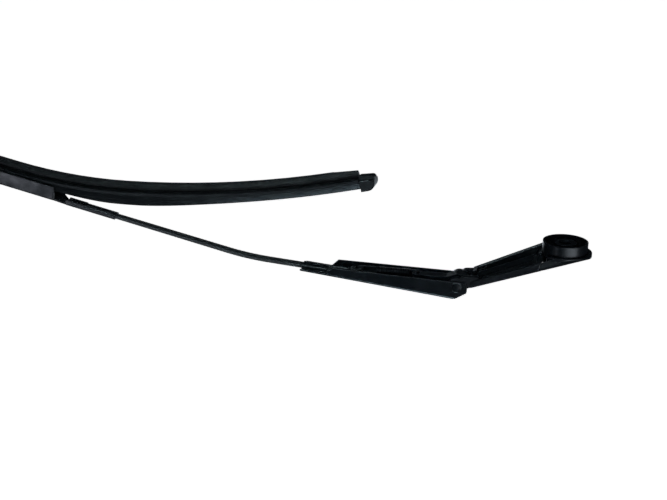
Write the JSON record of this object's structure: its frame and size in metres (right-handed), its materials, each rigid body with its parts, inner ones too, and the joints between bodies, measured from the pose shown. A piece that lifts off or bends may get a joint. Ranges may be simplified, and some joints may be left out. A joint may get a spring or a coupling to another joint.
{
  "type": "wiper arm",
  "caption": "Black windscreen wiper arm with its curved beam blade: a cast spindle head, a sprung folding channel, a flat rod and a blade that rocks on the arm's tip.",
  "frame": {"origin": "centre of the spindle bore at its mouth, on the glass side of the head", "axes": "+Z along the spindle towards the glass, +X along the arm towards the blade"},
  "size_m": [0.8288, 0.0406, 0.2391],
  "materials": {
    "head_casting": "satin black coating on a die casting",
    "arm_sheet": "satin black coating on pressed sheet",
    "tip_sheet": "slightly dulled black coating on pressed sheet",
    "rod_bar": "satin black coating on a flat bar",
    "black_moulding": "fine grained black moulding",
    "spoiler_skin": "smooth black extruded elastomer",
    "lip_rubber": "dusted graphite black rubber",
    "rail_steel": "bright spring-steel strip",
    "pin_steel": "zinc-plated steel",
    "spring_wire": "oiled spring wire",
    "bush_bronze": "plain sintered bronze"
  },
  "bodies": {
    "head": {"arm_head": "head_casting", "hinge_bush_near": "bush_bronze", "hinge_bush_far": "bush_bronze", "spring_bar": "arm_sheet"},
    "arm": {"retainer": "arm_sheet", "hinge_rivet_near": "arm_sheet", "hinge_rivet_far": "arm_sheet", "arm_rod": "rod_bar", "tip_carrier": "tip_sheet", "blade_adapter": "black_moulding"},
    "strap": {"spring_strap": "arm_sheet"},
    "spring": {"tension_spring": "spring_wire"},
    "blade": {"blade_connector": "black_moulding", "pivot_pin": "pin_steel", "rail_near": "rail_steel", "rail_far": "rail_steel", "wiper_rubber": "lip_rubber", "spoiler_inner": "spoiler_skin", "spoiler_outer": "spoiler_skin", "end_cap_inner": "black_moulding", "end_cap_outer": "black_moulding"},
    "cover": {"nut_cover": "black_moulding"}
  },
  "joints": [
    {"name": "arm_hinge", "type": "hinge", "parent": "head", "child": "arm", "pos_m": [0.08, 0, -0.04], "axis": [0, 1, 0], "range_deg": [0, 80], "stiffness_Nm_per_rad": 2, "springref_deg": -85.94},
    {"name": "strap_swing", "type": "hinge", "parent": "head", "child": "strap", "pos_m": [0.07447, 0, -0.03571], "axis": [0, 1, 0], "range_deg": [0, 75]},
    {"name": "spring_swing", "type": "hinge", "parent": "arm", "child": "spring", "pos_m": [0.163, 0, -0.03682], "axis": [0, 1, 0], "range_deg": [-6, 0], "deforming": ["tension_spring"]},
    {"name": "blade_pivot", "type": "hinge", "parent": "arm", "child": "blade", "pos_m": [0.49669, 0, 0.02593], "axis": [0, 1, 0], "range_deg": [-2.5, 8]},
    {"name": "nut_cover_hinge", "type": "hinge", "parent": "head", "child": "cover", "pos_m": [0.012, 0, -0.016], "axis": [0, -1, 0], "range_deg": [0, 95]}
  ],
  "couplings": [
    {"joint": "strap_swing", "follows": "arm_hinge", "ratio": 0.9271},
    {"joint": "spring_swing", "follows": "arm_hinge", "ratio": -0.0729}
  ]
}
